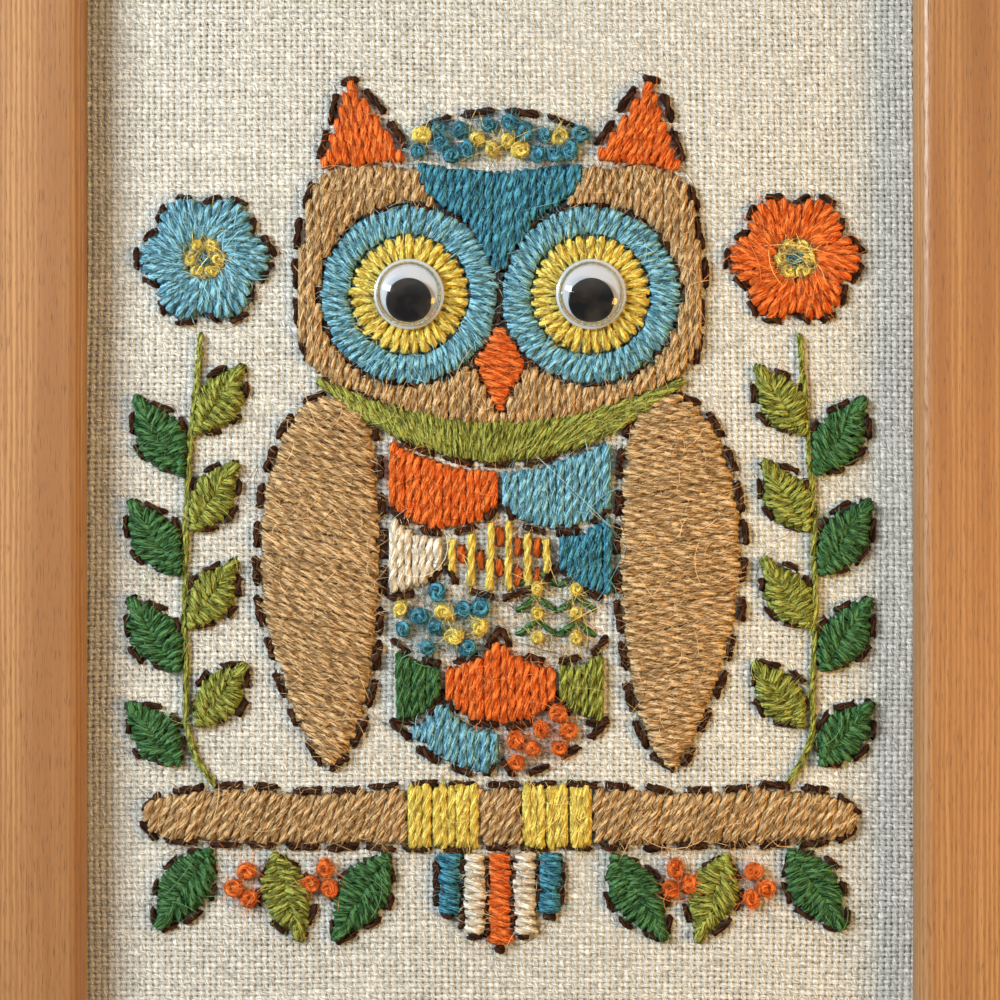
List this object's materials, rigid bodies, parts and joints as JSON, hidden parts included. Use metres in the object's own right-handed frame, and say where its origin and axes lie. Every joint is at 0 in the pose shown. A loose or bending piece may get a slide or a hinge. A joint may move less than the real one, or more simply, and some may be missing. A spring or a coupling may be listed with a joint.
{
  "type": "crewel embroidery in a picture frame",
  "caption": "Crewel wool embroidery on linen, an owl on a branch with leaf sprays and moving craft eyes, stretched on a board in a plain mitred wood picture frame.",
  "frame": {"origin": "middle of the back of the frame, in the plane of the rails' back faces on which it lies", "axes": "+Z out of the picture face, +Y towards the top of the picture, +X to the viewer's right"},
  "size_m": [0.155, 0.206, 0.018],
  "materials": {
    "frame_wood": "honey oak, satin lacquer, open grain",
    "backing_board": "pressed hardboard, matt",
    "mounting_card": "grey-white mounting card, matt",
    "linen": "undyed plain-weave linen with slubs, matt",
    "wool_tan": "matt twisted wool yarn with loose hairs",
    "wool_orange": "matt twisted wool yarn with loose hairs",
    "wool_yellow": "matt twisted wool yarn with loose hairs",
    "wool_blue": "matt twisted wool yarn with loose hairs",
    "wool_teal": "matt twisted wool yarn with loose hairs",
    "wool_green": "matt twisted wool yarn with loose hairs",
    "wool_olive": "matt twisted wool yarn with loose hairs",
    "wool_cream": "matt twisted wool yarn with loose hairs",
    "wool_rust": "matt twisted wool yarn with loose hairs",
    "wool_brown": "matt twisted wool yarn with loose hairs",
    "eye_white": "white plastic disc",
    "eye_black": "black plastic disc, worn to a soft shine",
    "eye_clear": "clear vacuum-formed plastic, glossy"
  },
  "bodies": {
    "root": {"backing_board": "backing_board", "eye_left_base": "eye_white", "eye_left_dome": "eye_clear", "eye_right_base": "eye_white", "eye_right_dome": "eye_clear", "frame_rail_bottom": "frame_wood", "frame_rail_left": "frame_wood", "frame_rail_right": "frame_wood", "frame_rail_top": "frame_wood", "linen_ground": "linen", "mounting_board": "mounting_card", "wool_branch": "wool_tan", "wool_flower_left": "wool_blue", "wool_flower_right": "wool_orange", "wool_leaf_left_1": "wool_green", "wool_leaf_left_10": "wool_olive", "wool_leaf_left_11": "wool_green", "wool_leaf_left_2": "wool_olive", "wool_leaf_left_3": "wool_green", "wool_leaf_left_4": "wool_olive", "wool_leaf_left_5": "wool_green", "wool_leaf_left_6": "wool_olive", "wool_leaf_left_7": "wool_green", "wool_leaf_left_8": "wool_olive", "wool_leaf_left_9": "wool_green", "wool_leaf_right_1": "wool_green", "wool_leaf_right_10": "wool_olive", "wool_leaf_right_11": "wool_green", "wool_leaf_right_2": "wool_olive", "wool_leaf_right_3": "wool_green", "wool_leaf_right_4": "wool_olive", "wool_leaf_right_5": "wool_green", "wool_leaf_right_6": "wool_olive", "wool_leaf_right_7": "wool_green", "wool_leaf_right_8": "wool_olive", "wool_leaf_right_9": "wool_green", "wool_owl_body": "wool_orange", "wool_tail": "wool_cream", "wool_wing_left": "wool_tan", "wool_wing_right": "wool_tan"},
    "pupil_left": {"eye_left_pupil": "eye_black"},
    "pupil_right": {"eye_right_pupil": "eye_black"}
  },
  "joints": [
    {"name": "pupil_left_roll", "type": "hinge", "parent": "root", "child": "pupil_left", "pos_m": [-0.0126, 0.0285, 0.01455], "axis": [0, 0, 1], "continuous": true},
    {"name": "pupil_right_roll", "type": "hinge", "parent": "root", "child": "pupil_right", "pos_m": [0.0126, 0.0285, 0.01455], "axis": [0, 0, 1], "continuous": true}
  ]
}
